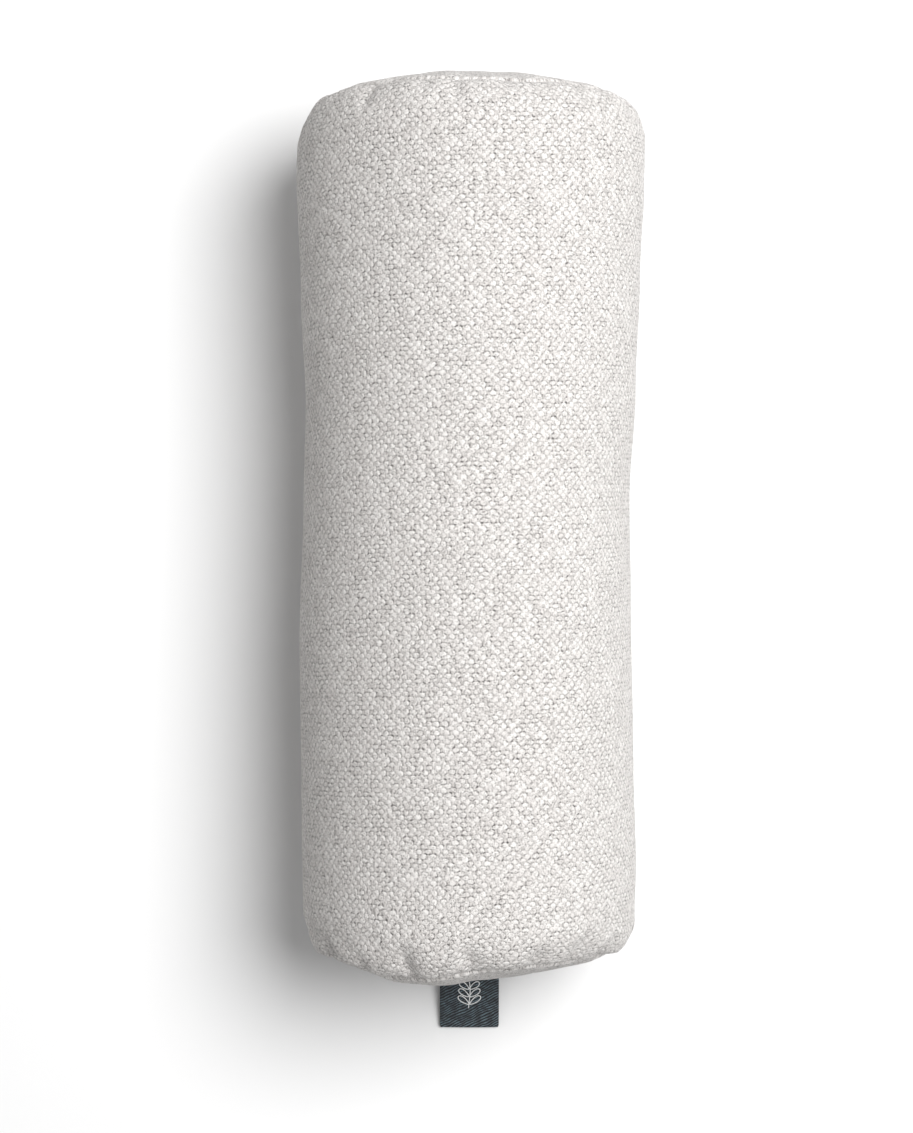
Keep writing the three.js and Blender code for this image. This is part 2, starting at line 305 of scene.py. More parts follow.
# ---------------------------------------------------------------- cloth simulation of the gathers

SIM_SCALE = 15  # the solver's stiffnesses suit a cloth of this many times the bolster's size
SIM_START = 90 * MM  # the simulated part of the tube, from here to an end seam
SIM_ROWS = 45
SIM_COLUMNS = 140
SIM_FRAMES = 28
SEWING_FRAMES = 14
GATHER_CAP = 4 * MM  # how far the simulation may move a point
GATHER_SHARES = {1: 0.5, -1: 0.6}  # how much of each end's simulated offsets is used
LIP_FADE = 7 * MM  # over this length the offsets fade to the share left on the seam itself
LIP_SHARE = 0.2
RING_WAVES = (6, 9, 13, 17, 22)  # of the seam line, in waves round it


def random_wave(local, least, angle):
    """A wave of random size and phase, made for each number of waves round the bolster."""
    return lambda k: local.uniform(least, 1) * np.sin(k * angle + local.uniform(0, 6.28))


def simulate_gathers(seed, pressure, ring_wave):
    """How the tube's fabric buckles as it is gathered from its cut size on to a smaller end seam:
    offsets along the radius, round the tube and along it, on a grid of rows (along) and columns
    (round). The last row starts at the cut size and is drawn in to the seam over the sewing frames."""
    local = np.random.default_rng(seed)
    s = np.linspace(SIM_START, S_LIP, SIM_ROWS)
    angle = np.linspace(0, 2 * math.pi, SIM_COLUMNS, endpoint=False)
    r, y = meridian(s)
    # A little unevenness, which the buckling starts from.
    noise = local.normal(0, 0.3 * MM, (SIM_ROWS, SIM_COLUMNS))
    noise = (noise + np.roll(noise, 1, 1) + np.roll(noise, -1, 1)) / 3
    noise *= np.clip((s - SIM_START) / (30 * MM), 0, 1)[:, None]
    wave = ring_wave * sum(map(random_wave(local, 0.4, angle), RING_WAVES))

    def points(radius, along):
        return SIM_SCALE * np.stack([
            radius * np.cos(angle)[None], np.broadcast_to(along[:, None], radius.shape),
            radius * np.sin(angle)[None]], -1).reshape(-1, 3)

    cut = points(RADIUS + noise, s)
    sewn_radius = np.repeat(r[:, None], SIM_COLUMNS, 1)
    sewn_radius[-1] += wave
    obj = make_object("gather_sim", cut, grid_faces(SIM_ROWS, SIM_COLUMNS, wrap=True))
    obj.data.flip_normals()
    obj.shape_key_add(name="cut")
    sewn = obj.shape_key_add(name="sewn")
    sewn.data.foreach_set("co", points(sewn_radius, y).ravel())
    for frame_number, value in ((1, 0), (SEWING_FRAMES, 1)):
        sewn.value = value
        sewn.keyframe_insert("value", frame=frame_number)
    held = obj.vertex_groups.new(name="held")
    ring = list(range(SIM_COLUMNS))
    held.add(ring + [(SIM_ROWS - 1) * SIM_COLUMNS + i for i in ring], 1.0, "REPLACE")
    cloth = obj.modifiers.new("cloth", "CLOTH")
    settings = cloth.settings
    settings.quality = 6
    settings.mass = 0.1
    settings.tension_stiffness = settings.compression_stiffness = 40
    settings.shear_stiffness = 6
    settings.bending_stiffness = 1
    settings.tension_damping = settings.compression_damping = settings.shear_damping = 8
    settings.use_pressure = True
    settings.uniform_pressure_force = pressure
    settings.vertex_group_mass = "held"
    settings.pin_stiffness = 50
    settings.effector_weights.gravity = 0
    cloth.collision_settings.use_collision = False
    cloth.point_cache.frame_start = 1
    cloth.point_cache.frame_end = SIM_FRAMES
    scene = bpy.context.scene
    for f in range(1, SIM_FRAMES + 1):
        scene.frame_set(f)
    mesh = obj.evaluated_get(bpy.context.evaluated_depsgraph_get()).data
    out = np.empty(len(mesh.vertices) * 3)
    mesh.vertices.foreach_get("co", out)
    out = out.reshape(SIM_ROWS, SIM_COLUMNS, 3) / SIM_SCALE
    bpy.data.objects.remove(obj)
    scene.frame_set(1)
    radius = np.hypot(out[..., 0], out[..., 2])
    turned = np.arctan2(out[..., 2], out[..., 0]) - angle[None]
    turned = (turned + math.pi) % (2 * math.pi) - math.pi
    offsets = np.stack([
        radius - radius.mean(1, keepdims=True), turned * radius,
        out[..., 1] - out[..., 1].mean(1, keepdims=True)], -1)
    return np.clip(offsets, -GATHER_CAP, GATHER_CAP)


# The label's end (-1) is gathered on to a wavier seam than the other.
GATHERS = {1: simulate_gathers(21, 5, 0.35 * MM), -1: simulate_gathers(8, 2, 0.6 * MM)}


LABEL_FLAT = 13  # half the stretch of front seam that the label holds flat, and its fade, in degrees
LABEL_FADE = 18


def label_calm(angle, end):
    """0 where the label is sewn into the front seam and holds it flat, 1 away from it."""
    apart = np.abs((angle + math.pi / 2 + math.pi) % (2 * math.pi) - math.pi)
    calm = smooth_step((np.degrees(apart) - LABEL_FLAT) / LABEL_FADE)
    return np.where(np.asarray(end) < 0, calm, 1.0)


def gathers(s, angle):
    """The simulated offsets on the grid of lengths s (rows) and angles (columns)."""
    rows = np.clip((np.abs(s) - SIM_START) / (S_LIP - SIM_START), 0, 1) * (SIM_ROWS - 1)
    columns = (angle / (2 * math.pi) * SIM_COLUMNS) % SIM_COLUMNS
    # The fabric lies flatter on the seam itself, which is sewn to a round panel.
    off_lip = smooth_step((S_LIP - np.abs(s)) / LIP_FADE)[:, None, None]
    calmed = {}
    for end, share in GATHER_SHARES.items():
        some = cubic(GATHERS[end], rows, wrap=False) * share * (LIP_SHARE + (1 - LIP_SHARE) * off_lip)
        calmed[end] = cubic(np.swapaxes(some, 0, 1), columns, wrap=True).swapaxes(0, 1)
    # Both ends were simulated as the rear one, so the front one is mirrored along the axis.
    calmed[-1] = calmed[-1] * [1, 1, -1] * label_calm(angle, -1)[None, :, None]
    return np.where(s[:, None, None] > 0, calmed[1], calmed[-1])


# Soft furrows that run from each end seam into the tube: (direction round it in degrees, half its
# width round the tube, depth and length in mm).
FURROWS = {
    -1: [(146, 7, 0.8, 34), (114, 8, 1.1, 46), (88, 9, 1.4, 52), (64, 7, 1.1, 44), (58, 11, 1.5, 22),
         (42, 7, 0.9, 34), (8, 7, 0.9, 32), (-38, 7, 0.9, 30), (-140, 7, 1.0, 34), (176, 7, 0.8, 30)],
    1: [(128, 7, 0.7, 32), (97, 7, 0.5, 28), (58, 8, 0.7, 34), (22, 7, 0.9, 32), (-30, 8, 0.9, 34),
        (-150, 7, 0.9, 32), (168, 7, 0.7, 30)]}


FURROW_START = 10 * MM  # over this length from the seam each furrow deepens


def furrows(s, angle):
    """How deep the furrows lie on the grid of lengths s (rows) and angles (columns)."""
    from_lip = np.clip(S_LIP - np.abs(s), 0, None)[:, None]
    total = np.zeros((len(s), len(angle)))
    for end, several in FURROWS.items():
        for direction, half, deep, long in several:
            apart = (angle - math.radians(direction) + math.pi) % (2 * math.pi) - math.pi
            across = np.exp(-(apart * RADIUS / (half * MM)) ** 2)[None]
            along = smooth_step(1 - from_lip / (long * MM)) * smooth_step(from_lip / FURROW_START)
            total += deep * MM * across * along * (np.sign(s) == end)[:, None]
    return total


# Where each end seam strays out along the axis: (direction round it and half its width in degrees,
# how far in mm).
SEAM_STRAYS = {1: [(35, 95, 0.2)], -1: [(117, 40, 4.5), (45, 48, -2.4), (165, 40, -1.0)]}
STRAY_FADE = 60 * MM  # how far into the tube the fabric follows its seam


def seam_wave(angle, end):
    """How far an end seam strays along the axis, round the seam."""
    phase = 0.6 if end > 0 else 2.1
    wave = (0.35 * np.sin(3 * angle + phase) + 0.3 * np.sin(7 * angle + 2 * phase)
            + 0.25 * np.sin(13 * angle + 3 * phase))
    for direction, half, out in SEAM_STRAYS[end]:
        apart = np.abs((angle - math.radians(direction) + math.pi) % (2 * math.pi) - math.pi)
        wave = wave + end * out * smooth_step(1 - np.degrees(apart) / half)
    return MM * wave * label_calm(angle, end)


def skin(s, angle, depth=0.0):
    """Points of the tube's fabric at lengths s (rows) and angles (columns), depth below its face."""
    r, y = meridian(s)
    normal_r, normal_y = np.gradient(y, s), -np.gradient(r, s)
    size = np.hypot(normal_r, normal_y)
    normal_r, normal_y = normal_r / size, normal_y / size
    off = gathers(s, angle)
    near_seam = smooth_step((np.abs(s) - S_LIP + STRAY_FADE) / STRAY_FADE)[:, None]
    wave = np.where(s[:, None] > 0, seam_wave(angle, 1)[None], seam_wave(angle, -1)[None]) * near_seam
    depth = np.broadcast_to(depth, (len(s), len(angle)))
    sunk = depth + furrows(s, angle)
    radius = r[:, None] + off[..., 0] - sunk * normal_r[:, None]
    turned = angle[None] + off[..., 1] / np.maximum(r[:, None], 0.03)
    along = y[:, None] + off[..., 2] + wave - sunk * normal_y[:, None]
    return np.stack([radius * np.cos(turned), along, AXIS_HEIGHT + radius * np.sin(turned)], -1)


# ---------------------------------------------------------------- cover

COVER_ROWS = 206
COVER_COLUMNS = 218
# The hem folded in at the zip: (across past the slot's edge, depth) in mm.
HEM = [(0.25, 3.1), (0.0, 2.2), (0.0, 1.25), (0.4, 0.38), (1.25, 0.0)]


def slot_opening(y):
    """Half the gap between the two folded edges at the zip, along the bolster."""
    closed = 0.15 * MM
    end = smooth_step((SLOT_HALF_LENGTH - np.abs(y)) / (5 * MM))
    return closed + (SLOT_HALF_WIDTH - closed) * end


def make_cover_body():
    """The tube, cut open along the zip and hemmed there, rolled into a seam at both ends."""
    s = np.linspace(-S_END, S_END, COVER_ROWS)
    _, y = meridian(s)
    half = slot_opening(y)
    hem_across = np.array([h[0] for h in HEM]) * MM
    hem_depth = np.array([h[1] for h in HEM]) * MM
    edge = half + hem_across[-1]
    main = np.linspace(0, 1, COVER_COLUMNS)[1:-1]
    points, uv = [], []
    for i in range(COVER_ROWS):
        left = half[i] + hem_across
        middle = edge[i] + main * (CIRCUMFERENCE - 2 * edge[i])
        across = np.concatenate([left, middle, (CIRCUMFERENCE - left)[::-1]])
        depth = np.concatenate([hem_depth, np.zeros(len(main)), hem_depth[::-1]])
        run = np.concatenate([left - hem_depth, middle, (CIRCUMFERENCE - left + hem_depth)[::-1]])
        angle = ZIP_ANGLE + across / RADIUS
        rows = s[max(0, i - 1): i + 2]
        strip = skin(rows, angle, depth[None])
        points.append(strip[min(i, 1)])
        uv.append(np.stack([run, np.full(len(run), s[i])], 1))
    columns = len(points[0])
    points = rest_on_floor(settle(np.concatenate(points)))
    obj = make_object("cover_body_fabric", points, grid_faces(COVER_ROWS, columns), np.concatenate(uv))
    obj.data.flip_normals()
    thicken(obj, FABRIC)
    return obj


def dome(radius):
    """Height of an end panel above its seam, out along the axis, at a radius."""
    return DOME_HEIGHT * (1 - np.clip(radius / SEAM_RADIUS, 0, 1) ** DOME_POWER)


PANEL_RINGS = 34
PANEL_COLUMNS = 200
RIPPLE_HEIGHT = 0.42 * MM


def make_end_panel(end):
    """The round panel at the +Y (end 1) or -Y (end -1) end."""
    rim = SEAM_RADIUS - SEAM_GAP
    flat = np.linspace(0, rim - FOLD, PANEL_RINGS)[1:]
    a = np.linspace(0, math.pi / 2, 6)[1:]
    radius = np.concatenate([flat, rim - FOLD + FOLD * np.sin(a), [rim, rim]])
    rise = np.concatenate([
        dome(flat), dome(rim - FOLD) - FOLD * (1 - np.cos(a)),
        [dome(rim - FOLD) - FOLD - FLANGE / 2, dome(rim - FOLD) - FOLD - FLANGE]])
    angle = np.linspace(0, 2 * math.pi, PANEL_COLUMNS, endpoint=False)
    local = np.random.default_rng(11 if end > 0 else 12)
    ripple = sum(map(random_wave(local, 0.35, angle), range(9, 27, 3)))
    near = np.exp(-((rim - radius) / (13 * MM)) ** 2) * smooth_step((rim - radius) / (3 * MM))
    x, up = radius[:, None] * np.cos(angle), radius[:, None] * np.sin(angle)
    sag = np.exp(-((up + SAG_BELOW) ** 2 + x ** 2) / SAG_SPREAD ** 2)
    wave = seam_wave(angle, end)[None] * smooth_step(radius / rim)[:, None]
    calm = label_calm(angle, end)
    out = rise[:, None] + near[:, None] * (ripple * calm)[None] * RIPPLE_HEIGHT + SAG_HEIGHT * sag * calm
    y = end * (SEAM_REACH + out) + wave
    ring = np.stack([x, y, AXIS_HEIGHT + up], -1).reshape(-1, 3)
    top = DOME_HEIGHT + SAG_HEIGHT * math.exp(-(SAG_BELOW / SAG_SPREAD) ** 2)
    vertices = np.concatenate([[[0, end * (SEAM_REACH + top), AXIS_HEIGHT]], ring])
    faces = [[0, 1 + (i + 1) % PANEL_COLUMNS, 1 + i] for i in range(PANEL_COLUMNS)]
    faces += grid_faces(len(radius), PANEL_COLUMNS, wrap=True, first=1)
    uv = np.stack([vertices[:, 0], vertices[:, 2]], 1)
    obj = make_object("end_panel_rear_fabric" if end > 0 else "end_panel_front_fabric",
                      rest_on_floor(settle(vertices)), faces, uv)
    if end > 0:
        obj.data.flip_normals()
    thicken(obj, FABRIC)
    return obj


cover_body = make_cover_body()
panel_front = make_end_panel(-1)
panel_rear = make_end_panel(1)

# ---------------------------------------------------------------- zip

COIL_HALF_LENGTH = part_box("zip_coil_upper")[1].y
COIL_LEVEL = 73.85 * MM  # of the coil's middle, out from the bolster's axis
COIL_MIDDLE = 1.55 * MM  # of each coil, from the zip's middle
COIL_PITCH = 1.7 * MM
COIL_WIRE = 0.31 * MM
TAPE_LEVEL = 72.45 * MM


def zip_point(across, y, out):
    """Points in the zip's frame: across it, along it and out from the bolster's axis."""
    across, y, out = np.broadcast_arrays(np.asarray(across, float), y, out)
    p = across[..., None] * ZIP_ACROSS + out[..., None] * ZIP_OUT
    p[..., 1] = y
    p[..., 2] += AXIS_HEIGHT
    return p


def make_coil(side, name):
    """One nylon coil: flat loops that reach just past the middle, between the other side's loops."""
    turns = int(2 * COIL_HALF_LENGTH / COIL_PITCH)
    per_turn = 14
    t = np.arange(turns * per_turn + 1) / per_turn
    a = 2 * math.pi * t
    reach = 1.95 * MM
    across = side * (COIL_MIDDLE - reach * np.cos(a) * (1 - 0.1 * np.cos(a) ** 2))
    out = COIL_LEVEL + 0.62 * MM * np.sin(a)
    y = -COIL_HALF_LENGTH + COIL_PITCH * (t + (0.5 if side > 0 else 0)) * (turns / (turns + 0.5))
    vertices, faces = tube_mesh(zip_point(across, y, out), COIL_WIRE)
    obj = make_object("zip_coil_%s_turns" % name, vertices, faces)
    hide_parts("zip_coil_" + name)
    return obj


def make_tape(side, name):
    """A woven tape, curved with the cover, with a thicker cord beside the coil."""
    low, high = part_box("zip_tape_" + name)
    across = np.concatenate([np.linspace(0.9, 3.4, 8), np.linspace(3.9, 13.2, 16)]) * MM
    y = np.linspace(low.y, high.y, 180)
    cord = 0.25 * MM * np.exp(-((across - 2.6 * MM) / (0.7 * MM)) ** 2)
    level = TAPE_LEVEL - across ** 2 / (2 * RADIUS) + cord
    points = zip_point(side * across[None, :], y[:, None], level[None, :])
    uv = np.stack(np.broadcast_arrays(across[None, :], y[:, None]), -1)
    obj = make_object("zip_tape_%s_cloth" % name, points.reshape(-1, 3),
                      grid_faces(len(y), len(across)), uv.reshape(-1, 2))
    if side > 0:
        obj.data.flip_normals()
    thicken(obj, 0.45 * MM)
    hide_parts("zip_tape_" + name)
    return obj


STITCH_LENGTH = 3.2 * MM
STITCH_ACROSS = 7.6 * MM
STITCH_THREAD = 0.34 * MM
STITCH_LOW, STITCH_RISE = -0.9 * MM, 1.4 * MM  # of the thread, from the cover's face


def make_topstitch(side, name):
    """One row of lockstitches beside the zip: a thread that dips into the cover at each stitch's end."""
    low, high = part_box("zip_topstitch_" + name)
    count = int((high.y - low.y) / STITCH_LENGTH)
    t = np.arange(count * 16 + 1) / 16
    lift = np.sqrt(np.abs(np.sin(math.pi * t)))
    y = low.y + t * STITCH_LENGTH
    level = np.sqrt(RADIUS ** 2 - STITCH_ACROSS ** 2) + STITCH_LOW + STITCH_RISE * lift
    vertices, faces = tube_mesh(zip_point(side * STITCH_ACROSS, y, level), STITCH_THREAD)
    obj = make_object("zip_topstitch_%s_thread" % name, vertices, faces)
    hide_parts("zip_topstitch_" + name)
    return obj


ZIP_SIDES = ((1, "lower"), (-1, "upper"))
coils = [make_coil(*side) for side in ZIP_SIDES]
tapes = [make_tape(*side) for side in ZIP_SIDES]
topstitches = [make_topstitch(*side) for side in ZIP_SIDES]
slider = bevelled("zip_slider", "zip_slider_body", 0.25 * MM)
pull = bevelled("zip_pull", "zip_pull_tab", 0.2 * MM)
stops = [bevelled(node, node + "_crimp", 0.3 * MM)
         for node in ("zip_top_stop_upper", "zip_top_stop_lower", "zip_bottom_stop")]

# ---------------------------------------------------------------- label

label_joint = next(j for j in frame["joints"] if j["name"] == "label_flex")
LABEL_ROOT = np.array(label_joint["pos_m"])
label_low, label_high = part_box("side_label")
LABEL_WIDTH = label_high.x - label_low.x
LABEL_DROOP = math.radians(11.5)
LABEL_REACH = 46.5 * MM
PLY = 0.5 * MM  # half the folded ribbon's thickness


def label_frame(x, along, up):
    """Points in the label's frame: across it, out along it from the seam, and square to it."""
    x, along, up = np.broadcast_arrays(np.asarray(x, float), along, up)
    y = LABEL_ROOT[1] - along * math.cos(LABEL_DROOP) - up * math.sin(LABEL_DROOP)
    z = LABEL_ROOT[2] - along * math.sin(LABEL_DROOP) + up * math.cos(LABEL_DROOP)
    return np.stack([x, y, z], -1)


def label_lift(x, along):
    """The ribbon's gentle waviness."""
    share = along / LABEL_REACH
    return MM * (0.5 * np.sin(math.pi * share) - 0.25 * share * (x / LABEL_WIDTH * 2) ** 2)


def make_label():
    """The ribbon: two plies and the fold between them, as one strip that runs out and back."""
    run = np.linspace(0.4 * MM, LABEL_REACH - PLY, 70)
    a = np.linspace(0, math.pi, 13)[1:-1]
    fold = np.stack([LABEL_REACH - PLY + PLY * np.sin(a), PLY * np.cos(a)], 1)
    along = np.concatenate([run, fold[:, 0], run[::-1]])
    up = np.concatenate([np.full(len(run), PLY), fold[:, 1], np.full(len(run), -PLY)])
    length = np.concatenate([[0], np.cumsum(np.hypot(np.diff(along), np.diff(up)))])
    across = np.linspace(-1, 1, 45) * LABEL_WIDTH / 2
    grid_x, grid_a = np.meshgrid(across, along)
    lift = up[:, None] + label_lift(grid_x, grid_a)
    taper = 1 - 0.05 * np.clip((grid_a - LABEL_REACH + 1.8 * MM) / (1.8 * MM), 0, 1) ** 3
    points = label_frame(grid_x * taper, grid_a, lift)
    uv = np.stack([grid_x, np.broadcast_to(length[:, None], grid_x.shape)], -1)
    obj = make_object("side_label_ribbon", points.reshape(-1, 3),
                      grid_faces(len(along), len(across)), uv.reshape(-1, 2))
    if obj.data.polygons[0].normal.z < 0:
        obj.data.flip_normals()
    thicken(obj, PLY * 0.8)
    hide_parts("side_label")
    return obj


def make_label_motif():
    """A plain sprig with three pairs of leaves, in raised pale thread on the upper ply."""
    centre = 30.2 * MM
    thread = 0.24 * MM
    slant = math.radians(52)

    def lay(points):
        x, along = (np.asarray(points, float) * MM).T
        a = centre + along
        return label_frame(x, a, PLY + label_lift(x, a) + thread / 2)

    stem = [(0.35 * math.sin(0.35 * k), -6.5 + k) for k in np.linspace(0, 13, 30)]
    parts = [tube_mesh(lay(stem), thread)]
    a = np.linspace(0, 2 * math.pi, 33)[:-1]
    for base, length in ((4.5, 6.2), (0.8, 5.8), (-2.9, 5.4)):
        lengthwise = length / 2 * (1 - np.cos(a))
        sideways = 1.15 * np.sin(a) * (1 - 0.35 * np.cos(a))
        out = 0.25 + lengthwise * math.sin(slant) + sideways * math.cos(slant)
        along = base - lengthwise * math.cos(slant) + sideways * math.sin(slant)
        for side in (-1, 1):
            parts.append(tube_mesh(lay(np.stack([side * out, along], 1)), thread, closed=True))
    vertices, faces = join_parts(parts)
    return make_object("side_label_motif", vertices, faces)


label = make_label()
label_motif = make_label_motif()


# ---------------------------------------------------------------- liner and filling

LINER_RADIUS = RADIUS - 4.8 * MM
LINER_SEAM_RADIUS = 57 * MM
LINER_REACH = 174 * MM
LINER_CORNER = 14 * MM
LINER_FABRIC = 0.6 * MM
LINER_FLOOR = 3.2 * MM  # the height that the liner and the filling lie at
ZIP_DENT = 1.8 * MM  # how far the zip presses them in
INNER_COLUMNS = 128


def inner_rings(radius, seam_radius, reach):
    """(radius, y) of a tube's outline from the front rim to the rear one, rounded in at both ends."""
    a = np.linspace(0, math.pi / 2, 12)
    straight = reach - LINER_CORNER
    ends = np.stack([
        radius - (radius - seam_radius) * (1 - np.cos(a)),
        straight + LINER_CORNER * np.sin(a)], 1)
    middle = np.stack([np.full(60, radius), np.linspace(-straight, straight, 62)[1:-1]], 1)
    return np.concatenate([(ends * [1, -1])[::-1], middle, ends])


def inner_points(rings, lumps, seed):
    """Points of rings round the axis, uneven with the hulls behind them and pressed in at the zip."""
    angle = np.linspace(0, 2 * math.pi, INNER_COLUMNS, endpoint=False)
    local = np.random.default_rng(seed)
    radius, y = rings[:, 0][:, None], rings[:, 1][:, None]
    uneven = sum(
        np.sin(k * angle[None] + m * y / RADIUS + local.uniform(0, 6.28))
        for k, m in ((5, 4), (8, -7), (13, 9), (17, -14)))
    across = (angle - ZIP_ANGLE + math.pi) % (2 * math.pi) - math.pi
    dent = ZIP_DENT * smooth_step(1.6 - np.abs(across * RADIUS) / (16 * MM))[None]
    out = radius * (1 + lumps * uneven / RADIUS) - dent * smooth_step((radius - 60 * MM) / (6 * MM))
    points = np.stack([
        out * np.cos(angle), np.broadcast_to(y, out.shape), AXIS_HEIGHT + out * np.sin(angle)], -1)
    return rest_on_floor(settle(points.reshape(-1, 3)), LINER_FLOOR)


def make_liner_body():
    """The tube of the inner bag that holds the hulls."""
    rings = inner_rings(LINER_RADIUS, LINER_SEAM_RADIUS, LINER_REACH)
    obj = make_object("liner_body_cotton", inner_points(rings, 0.12 * MM, 31),
                      grid_faces(len(rings), INNER_COLUMNS, wrap=True))
    obj.data.flip_normals()
    thicken(obj, LINER_FABRIC)
    return obj


def make_liner_end(name, end):
    """A slightly domed disc of the liner's fabric across one end."""
    rise = 1.5 * MM
    share = np.linspace(0, 1, 20)[1:]
    radius = (LINER_SEAM_RADIUS - 0.4 * MM) * share
    rings = np.stack([radius, end * (LINER_REACH + rise * (1 - share ** 2))], 1)
    points = inner_points(rings, 0.1 * MM, 33)
    centre = [[0, end * (LINER_REACH + rise), AXIS_HEIGHT]]
    faces = [[0, 1 + (i + 1) % INNER_COLUMNS, 1 + i] for i in range(INNER_COLUMNS)]
    faces += grid_faces(len(rings), INNER_COLUMNS, wrap=True, first=1)
    obj = make_object(name, np.concatenate([centre, points]), faces)
    if end > 0:
        obj.data.flip_normals()
    thicken(obj, LINER_FABRIC)
    return obj


def make_filling():
    """The hulls, as the closed lumpy mass that they settle into."""
    rings = inner_rings(LINER_RADIUS - 1.6 * MM, LINER_SEAM_RADIUS - 1.5 * MM, LINER_REACH - 2 * MM)
    points = inner_points(rings, 0.25 * MM, 32)
    faces = grid_faces(len(rings), INNER_COLUMNS, wrap=True)
    last = len(points)
    middle = [[0, -LINER_REACH + 2 * MM, AXIS_HEIGHT], [0, LINER_REACH - 2 * MM, AXIS_HEIGHT]]
    for i in range(INNER_COLUMNS):
        nxt = (i + 1) % INNER_COLUMNS
        faces.append([last, nxt, i])
        faces.append([last + 1, last - INNER_COLUMNS + i, last - INNER_COLUMNS + nxt])
    obj = make_object("hull_filling_mass", np.concatenate([points, middle]), faces)
    obj.data.flip_normals()
    return obj


liner_body = make_liner_body()
liner_ends = {
    node: make_liner_end(node + "_cotton", end)
    for node, end in (("liner_end_front", -1), ("liner_end_rear", 1))}
filling = make_filling()


# ---------------------------------------------------------------- materials

def linear(value):
    """A colour given in sRGB bytes, as linear values."""
    return [(c / 255 / 12.92 if c <= 10 else ((c / 255 + 0.055) / 1.055) ** 2.4) for c in value] + [1.0]


class Nodes:
    """Short calls for building a material's node tree."""

    def __init__(self, name):
        self.material = bpy.data.materials.new(name)
        self.material.use_nodes = True
        self.tree = self.material.node_tree
        self.shader = self.tree.nodes["Principled BSDF"]

    def link(self, value, socket):
        """Links a socket to another's output, or sets it to a plain value."""
        if isinstance(value, bpy.types.NodeSocket):
            self.tree.links.new(value, socket)
        else:
            socket.default_value = value

    def node(self, kind, settings=None, **inputs):
        made = self.tree.nodes.new(kind)
        for key, value in (settings or {}).items():
            setattr(made, key, value)
        for key, value in inputs.items():
            self.link(value, made.inputs[key])
        return made

    def surface(self, **inputs):
        """Sets or links the shader's inputs, with _ for each space in a name. Returns the material."""
        for key, value in inputs.items():
            self.link(value, self.shader.inputs[key.replace("_", " ")])
        return self.material

    def place(self):
        """The point's coordinates in object space."""
        return self.node("ShaderNodeTexCoord").outputs["Object"]

    def math(self, operation, *values):
        made = self.tree.nodes.new("ShaderNodeMath")
        made.operation = operation
        for value, socket in zip(values, made.inputs):
            self.link(value, socket)
        return made.outputs[0]

    def cloth(self, pitch_u, pitch_v):
        """(u, v) of the cloth, in pitches of its yarns."""
        uv = self.node("ShaderNodeUVMap", {"uv_map": "cloth"}).outputs[0]
        parts = self.node("ShaderNodeSeparateXYZ", Vector=uv)
        return (self.math("MULTIPLY", parts.outputs[0], 1 / pitch_u),
                self.math("MULTIPLY", parts.outputs[1], 1 / pitch_v))

    def vector(self, x, y, z=0.0):
        return self.node("ShaderNodeCombineXYZ", X=x, Y=y, Z=z).outputs[0]

    def noise(self, vector, scale, detail=2.0, rough=0.5, colour=False):
        made = self.node("ShaderNodeTexNoise", Vector=vector, Scale=scale, Detail=detail, Roughness=rough)
        return made.outputs["Color" if colour else "Fac"]

    def ramp(self, value, low, high, to_low=0.0, to_high=1.0, smooth=True):
        settings = {"interpolation_type": "SMOOTHSTEP" if smooth else "LINEAR", "clamp": True}
        limits = {"From Min": low, "From Max": high, "To Min": to_low, "To Max": to_high}
        return self.node("ShaderNodeMapRange", settings, Value=value, **limits).outputs[0]

    def mix(self, share, a, b):
        made = self.tree.nodes.new("ShaderNodeMix")
        made.data_type = "RGBA"
        for value, socket in ((share, made.inputs[0]), (a, made.inputs[6]), (b, made.inputs[7])):
            self.link(value, socket)
        return made.outputs[2]

    def bump(self, height, strength, distance):
        return self.node("ShaderNodeBump", Strength=strength, Distance=distance, Height=height).outputs[0]


